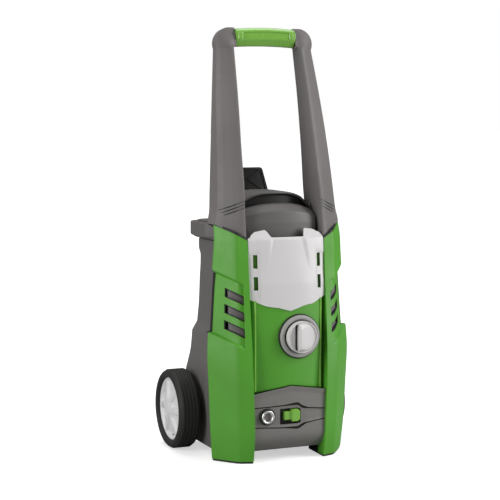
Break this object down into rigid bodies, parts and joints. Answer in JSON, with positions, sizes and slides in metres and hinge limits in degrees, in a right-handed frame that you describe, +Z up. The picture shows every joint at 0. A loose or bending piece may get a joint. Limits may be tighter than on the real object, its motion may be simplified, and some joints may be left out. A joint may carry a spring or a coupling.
{
  "type": "pressure washer",
  "caption": "Upright electric pressure washer with leaning twin uprights, cross grip, bowed front pillars, round switch knob, front outlet and rear wheels.",
  "frame": {"origin": "on the floor, under the middle of the whole object", "axes": "+X to the right seen from the front, +Y towards the back, +Z up"},
  "size_m": [0.3476, 0.295, 0.8],
  "materials": {
    "green_plastic": "moulded, satin, fine grain",
    "grip_green": "glossy soft grip",
    "grey_plastic": "moulded, fine texture",
    "silver_plastic": "silver lacquer on plastic",
    "rim_plastic": "silver-white",
    "tyre_rubber": "moulded rubber",
    "foot_rubber": "moulded rubber",
    "black_plastic": "moulded, fine texture",
    "steel": "turned",
    "brass": "machined",
    "aluminium": "die cast",
    "copper": "enamelled copper wire",
    "bright_metal": "plated",
    "hose_rubber": "reinforced hose"
  },
  "bodies": {
    "casing": {"accessory_rail": "grey_plastic", "axle": "steel", "axle_clips": "steel", "badge_plate": "silver_plastic", "base_screws": "steel", "cable_gland": "black_plastic", "capacitor": "aluminium", "chassis": "black_plastic", "crankcase": "aluminium", "end_shields": "aluminium", "fan_cowl": "black_plastic", "front_panel": "green_plastic", "handle_bar": "steel", "handle_grip": "grip_green", "hose_hook": "black_plastic", "inlet_connector": "black_plastic", "inlet_filter": "black_plastic", "inlet_pipe": "hose_rubber", "knob_bezel": "silver_plastic", "latch_guide": "black_plastic", "latch_spring": "steel", "lower_front_panel": "grey_plastic", "motor_bearings": "steel", "motor_cover": "grey_plastic", "motor_housing": "steel", "outlet_collar": "black_plastic", "outlet_connector": "bright_metal", "outlet_pipe": "brass", "pillar_left": "green_plastic", "pillar_right": "green_plastic", "piston_springs": "steel", "pistons": "steel", "pressure_switch": "black_plastic", "pump_barrel": "aluminium", "pump_head": "brass", "rear_cover": "grey_plastic", "rear_grille": "black_plastic", "rubber_feet": "foot_rubber", "stator_core": "steel", "switch_box": "black_plastic", "unloader_valve": "brass", "upright_left": "grey_plastic", "upright_right": "grey_plastic", "wheel_spacers": "black_plastic", "windings": "copper", "window_louvres": "black_plastic"},
    "wheel_left": {"tyre_left": "tyre_rubber", "rim_left": "rim_plastic", "hub_cap_left": "rim_plastic"},
    "wheel_right": {"tyre_right": "tyre_rubber", "rim_right": "rim_plastic", "hub_cap_right": "rim_plastic"},
    "knob": {"knob": "silver_plastic", "knob_spindle": "steel"},
    "latch": {"latch_button": "green_plastic"},
    "rotor": {"motor_shaft": "steel", "rotor_core": "steel", "cooling_fan": "black_plastic", "swash_plate": "steel", "thrust_ring": "steel"}
  },
  "joints": [
    {"name": "wheel_left_spin", "type": "hinge", "parent": "casing", "child": "wheel_left", "pos_m": [-0.1518, 0.0715, 0.076], "axis": [1, 0, 0], "continuous": true},
    {"name": "wheel_right_spin", "type": "hinge", "parent": "casing", "child": "wheel_right", "pos_m": [0.1518, 0.0715, 0.076], "axis": [1, 0, 0], "continuous": true},
    {"name": "knob_turn", "type": "hinge", "parent": "casing", "child": "knob", "pos_m": [0.018, -0.1245, 0.232], "axis": [0, 1, 0], "range_deg": [0, 90]},
    {"name": "latch_slide", "type": "slide", "parent": "casing", "child": "latch", "axis": [-1, 0, 0], "range_m": [0, 0.007], "stiffness_N_per_m": 300, "springref_m": -0.004},
    {"name": "rotor_spin", "type": "hinge", "parent": "casing", "child": "rotor", "pos_m": [0, -0.0035, 0.2], "axis": [0, 0, 1], "continuous": true}
  ]
}
